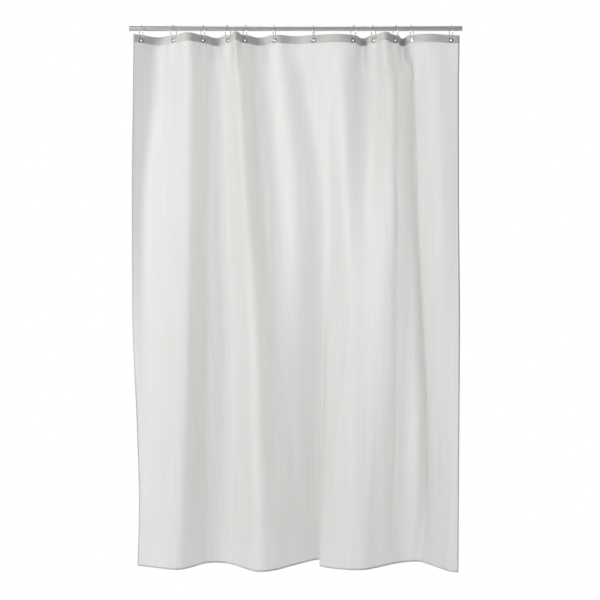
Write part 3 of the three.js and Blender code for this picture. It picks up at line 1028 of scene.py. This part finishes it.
class CURTAIN_OT_eyelets(bpy.types.Operator):
    """Press one eyelet and one washer and set a pair of them in the cloth under each ring"""

    bl_idname = "curtain.eyelets"
    bl_label = "Eyelets"

    def execute(self, context):
        sizes = context.scene.curtain_eyelet
        # Pressed and nickel plated: a darker and softer shine than chrome's, so that the rims stand out.
        nickel = brushed_metal("pressed nickel-plated steel", linear("#8F9092"), 0.2, "X", 0.6 * MM)
        bore, flange, metal = sizes.bore, sizes.flange, sizes.sheet
        low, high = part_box("eyelet_07")
        eyelet_z = (low.z + high.z) / 2
        outer = bore + 0.7 * MM  # radius of the tube that goes through the cloth
        front, lip = -1.7 * MM, 2.0 * MM  # where the rim's face and the rolled lip lie, front to back
        profile = [
            (bore, -0.6 * MM), (bore + 0.15 * MM, -1.15 * MM), (bore + 0.6 * MM, front + 0.1 * MM),
            (bore + 1.3 * MM, front), (flange - 1.3 * MM, front + 0.05 * MM),
            (flange - 0.5 * MM, front + 0.25 * MM), (flange - 0.1 * MM, front + 0.5 * MM),
            (flange, -1.1 * MM), (flange - 0.25 * MM, -1.1 * MM),
            (flange - 1.0 * MM, -1.15 * MM), (outer, -1.1 * MM), (outer, lip - 0.3 * MM),
            (outer + 0.5 * MM, lip - 0.35 * MM), (outer + 1.1 * MM, lip - 0.3 * MM), (outer + 1.3 * MM, lip),
            (outer + 1.0 * MM, lip + 0.3 * MM), (outer + 0.3 * MM, lip + 0.4 * MM),
            (bore + 0.2 * MM, lip + 0.15 * MM), (bore, lip - 0.4 * MM),
        ]
        eyelet = lathe("eyelet", profile, EYELET_STEPS)
        smooth_edges(eyelet, 60)
        hole, back = outer + 0.3 * MM, 1.1 * MM  # the washer's hole, and its face against the cloth
        washer_profile = [
            (hole, back + 0.1 * MM), (hole + 0.1 * MM, back), (flange - 0.3 * MM, back),
            (flange - 0.05 * MM, back + 0.1 * MM), (flange, back + 0.3 * MM),
            (flange - 0.15 * MM, back + 0.5 * MM), (flange - 0.6 * MM, back + metal),
            (hole + 0.2 * MM, back + metal - 0.05 * MM), (hole, back + metal - 0.15 * MM),
        ]
        washer = lathe("washer", washer_profile, EYELET_STEPS)
        smooth_edges(washer, 60)
        for number, place, turn in zip(HANGERS, RINGS, EYELET_TURN):
            turned = Matrix.Rotation(math.radians(turn), 4, "Z")
            matrix = Matrix.Translation((place.x, 0, eyelet_z)) @ turned
            for source, name, replaced in (
                (eyelet, f"eyelet_rim_{number}", f"eyelet_{number}"),
                (washer, f"back_washer_{number}", f"eyelet_washer_{number}"),
            ):
                copy = placed_copy(source, name, matrix)
                finished(copy, nickel, f"hanger_{number}")
                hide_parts(replaced)
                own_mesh(copy)
        remove(eyelet)
        remove(washer)
        return {"FINISHED"}


class CURTAIN_OT_cloth(bpy.types.Operator):
    """Hang the sheet with its header, side and bottom hems and their stitching"""

    bl_idname = "curtain.cloth"
    bl_label = "Cloth"

    def execute(self, context):
        sizes = context.scene.curtain_cloth
        sheet = Sheet(sizes)
        # One layer of the weave: light comes through it, so the cloth glows and its folds show softly.
        one_layer = woven_polyester("woven polyester, one layer", linear("#F6F6F5"), 0.77)
        # Folded over twice: hardly any light comes through, so the hems look greyer than the cloth.
        folded = woven_polyester("woven polyester, folded hem", linear("#F4F4F3"), 0.12)
        # Spun thread, a shade greyer than the cloth: seams show as fine broken lines.
        sewing = thread("spun polyester sewing thread", linear("#EDEDEC"))
        columns, blocks = sheet_columns(sheet)
        body_rows = list(np.linspace(sheet.header + 10 * MM, sheet.drop - 10 * MM, BODY_ROWS))
        cloth = self.cloth(sheet, columns, blocks, body_rows)
        hems = [
            self.header_hem(sheet, columns, blocks),
            *self.side_hems(sheet, sizes.side_hem, body_rows),
            self.bottom_hem(sheet, columns, sizes),
        ]
        hang(cloth, one_layer)
        for hem in hems:
            hang(hem, folded)
        for name, seam in self.seams(sheet, sizes).items():
            build_stitches(name, sheet, seam, sewing, sizes.stitch)
        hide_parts(*[f"curtain_cloth_{number}" for number in HANGERS])
        return {"FINISHED"}

    def cloth(self, sheet, columns, blocks, body_rows):
        """The whole sheet, one layer thick, with its eyelet holes."""
        rows = [0.0, 0.8 * MM, 4.5 * MM] + block_steps(EYELET_DROP)
        rows += [sheet.header + k * MM for k in (1, 2)] + body_rows + [sheet.drop - 5 * MM, sheet.drop]
        cloth = cloth_grid("curtain", sheet, columns, rows, FRONT, blocks, ABOVE_HOLES)
        thicken(cloth, sheet.thickness)
        return cloth

    def header_hem(self, sheet, columns, blocks):
        """The top edge folded to the back, with the same holes."""
        rows = [0.3 * MM, 1.0 * MM, 4.5 * MM] + block_steps(EYELET_DROP) + [sheet.header + 0.6 * MM]
        hem = cloth_grid("header_hem", sheet, columns, rows, hem_face(sheet), blocks, ABOVE_HOLES)
        thicken(hem, 2 * sheet.thickness + TURNED_EDGE)
        return hem

    def side_hems(self, sheet, width, body_rows):
        """The two side edges, each folded over twice to the back."""
        rows = [sheet.header + 2 * MM] + body_rows + [sheet.drop - 0.5 * MM]
        from_edge = (HEM_INSET, 1.2 * MM, 3 * MM, width)
        hems = []
        for name, edges in (
            ("side_hem_left", from_edge),
            ("side_hem_right", [sheet.width - e for e in reversed(from_edge)]),
        ):
            hem = cloth_grid(name, sheet, np.array(edges), rows, hem_face(sheet))
            thicken(hem, 2 * sheet.thickness)
            hems.append(hem)
        return hems

    def bottom_hem(self, sheet, columns, sizes):
        """The bottom edge folded over twice to the back, between the side hems."""
        clear = sizes.side_hem + 1 * MM
        between = columns[(columns > clear) & (columns < sheet.width - clear)]
        rows = [sheet.drop - e for e in (sizes.bottom_hem, 4 * MM, 1.2 * MM, 0.5 * MM)]
        hem = cloth_grid("bottom_hem", sheet, between, rows, hem_face(sheet))
        thicken(hem, 2 * sheet.thickness)
        return hem

    def seams(self, sheet, sizes):
        """Where each row of stitches starts and ends, as (across, below)."""
        left = sizes.side_hem - SEAM_INSET
        right = sheet.width - left
        under_header = sheet.header - 1.5 * MM
        over_bottom = sheet.drop - sizes.bottom_hem + 1.5 * MM
        ends = (2 * MM, sheet.width - 2 * MM)
        down = (sheet.header + 3 * MM, sheet.drop - 1 * MM)
        return {
            "header_stitching": [(across, under_header) for across in ends],
            "left_stitching": [(left, below) for below in down],
            "right_stitching": [(right, below) for below in down],
            "bottom_stitching": [(across, over_bottom) for across in ends],
        }


class CURTAIN_PT_panel(bpy.types.Panel):
    """Lists the sizes and the steps in the 3D view's sidebar"""

    bl_idname = "CURTAIN_PT_panel"
    bl_label = "Shower curtain"
    bl_space_type = "VIEW_3D"
    bl_region_type = "UI"
    bl_category = "Curtain"

    def draw(self, context):
        layout = self.layout
        for group, owner in PROPERTY_GROUPS.items():
            box = layout.box()
            box.label(text=group.replace("_", " "))
            for field in owner.__annotations__:
                box.prop(getattr(context.scene, group), field)
        for operator in OPERATORS:
            layout.operator(operator.bl_idname)


OPERATORS = (CURTAIN_OT_stage, CURTAIN_OT_rod, CURTAIN_OT_rings, CURTAIN_OT_eyelets, CURTAIN_OT_cloth)
CLASSES = tuple(PROPERTY_GROUPS.values()) + OPERATORS + (CURTAIN_PT_panel,)


def register():
    for owner in CLASSES:
        bpy.utils.register_class(owner)
    for name, owner in PROPERTY_GROUPS.items():
        setattr(bpy.types.Scene, name, bpy.props.PointerProperty(type=owner))


def unregister():
    for name in PROPERTY_GROUPS:
        delattr(bpy.types.Scene, name)
    for owner in reversed(CLASSES):
        bpy.utils.unregister_class(owner)


def main():
    register()
    bpy.ops.curtain.stage()
    bpy.ops.curtain.rod()
    bpy.ops.curtain.rings()
    bpy.ops.curtain.eyelets()
    bpy.ops.curtain.cloth()


if __name__ == "__main__":
    main()
